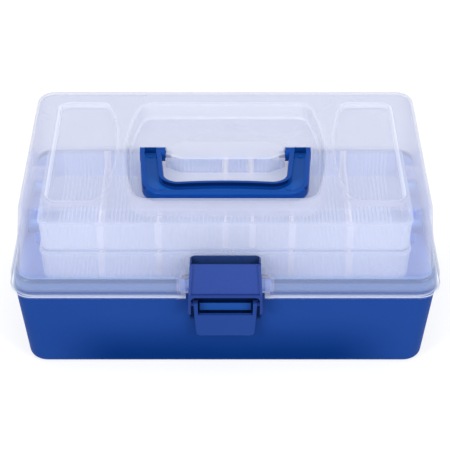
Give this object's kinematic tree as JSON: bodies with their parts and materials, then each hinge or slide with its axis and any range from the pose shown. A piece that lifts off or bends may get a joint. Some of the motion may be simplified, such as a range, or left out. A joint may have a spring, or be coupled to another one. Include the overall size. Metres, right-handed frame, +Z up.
{
  "type": "tool box",
  "caption": "Moulded tool box with a blue base, a translucent hinged lid, a fold-down carry handle, a front latch and compartment trays that rise with the lid.",
  "frame": {"origin": "middle of the flat underside, below the middle of the lid", "axes": "+X to the right seen from the latch side, +Y to the rear hinge, +Z up"},
  "size_m": [0.35, 0.222, 0.1542],
  "materials": {
    "blue_plastic": "satin moulded",
    "clear_lid": "translucent frosted",
    "clear_tray": "translucent frosted",
    "steel": "drawn wire"
  },
  "bodies": {
    "base": {"base_tub": "blue_plastic", "base_rivets": "blue_plastic", "hinge_pin_left": "steel", "hinge_pin_right": "steel"},
    "lid": {"lid_shell": "clear_lid", "lid_tray_pins": "blue_plastic", "latch_pin": "steel"},
    "handle": {"handle": "blue_plastic"},
    "latch_plate": {"latch_plate": "blue_plastic"},
    "latch_lever": {"latch_lever": "blue_plastic"},
    "long_arms": {"long_arm_left": "blue_plastic", "long_arm_right": "blue_plastic"},
    "short_arms": {"short_arm_left": "blue_plastic", "short_arm_right": "blue_plastic"},
    "lower_tray": {"lower_tray": "clear_tray", "lower_tray_rivets": "blue_plastic", "lower_divider_1": "clear_tray", "lower_divider_2": "clear_tray", "lower_divider_3": "clear_tray", "lower_divider_4": "clear_tray"},
    "upper_tray": {"upper_tray": "clear_tray", "upper_tray_rivets": "blue_plastic", "upper_divider_1": "clear_tray", "upper_divider_2": "clear_tray", "upper_divider_3": "clear_tray", "upper_divider_4": "clear_tray", "upper_divider_5": "clear_tray", "upper_divider_6": "clear_tray"}
  },
  "joints": [
    {"name": "lid_hinge", "type": "hinge", "parent": "base", "child": "lid", "pos_m": [0, 0.1085, 0.08], "axis": [-1, 0, 0], "range_deg": [0, 95]},
    {"name": "handle_swing", "type": "hinge", "parent": "lid", "child": "handle", "pos_m": [0, 0, 0.1482], "axis": [-1, 0, 0], "range_deg": [0, 180]},
    {"name": "latch_plate_rock", "type": "hinge", "parent": "lid", "child": "latch_plate", "pos_m": [0, -0.1015, 0.0972], "axis": [-1, 0, 0], "range_deg": [0, 12]},
    {"name": "latch_lever_swing", "type": "hinge", "parent": "latch_plate", "child": "latch_lever", "pos_m": [0, -0.105, 0.0722], "axis": [-1, 0, 0], "range_deg": [0, 75]},
    {"name": "long_arm_swing", "type": "hinge", "parent": "base", "child": "long_arms", "pos_m": [0, 0.0465, 0.081], "axis": [-1, 0, 0], "range_deg": [0, 95]},
    {"name": "short_arm_swing", "type": "hinge", "parent": "base", "child": "short_arms", "pos_m": [0, -0.007, 0.0797], "axis": [-1, 0, 0], "range_deg": [0, 95]},
    {"name": "lower_tray_level", "type": "hinge", "parent": "long_arms", "child": "lower_tray", "pos_m": [0, 0.00847, 0.0963], "axis": [1, 0, 0], "range_deg": [0, 95]},
    {"name": "upper_tray_level", "type": "hinge", "parent": "long_arms", "child": "upper_tray", "pos_m": [0, -0.038, 0.115], "axis": [1, 0, 0], "range_deg": [0, 95]}
  ],
  "couplings": [
    {"joint": "long_arm_swing", "follows": "lid_hinge", "ratio": 1},
    {"joint": "short_arm_swing", "follows": "lid_hinge", "ratio": 1},
    {"joint": "lower_tray_level", "follows": "lid_hinge", "ratio": 1},
    {"joint": "upper_tray_level", "follows": "lid_hinge", "ratio": 1}
  ]
}
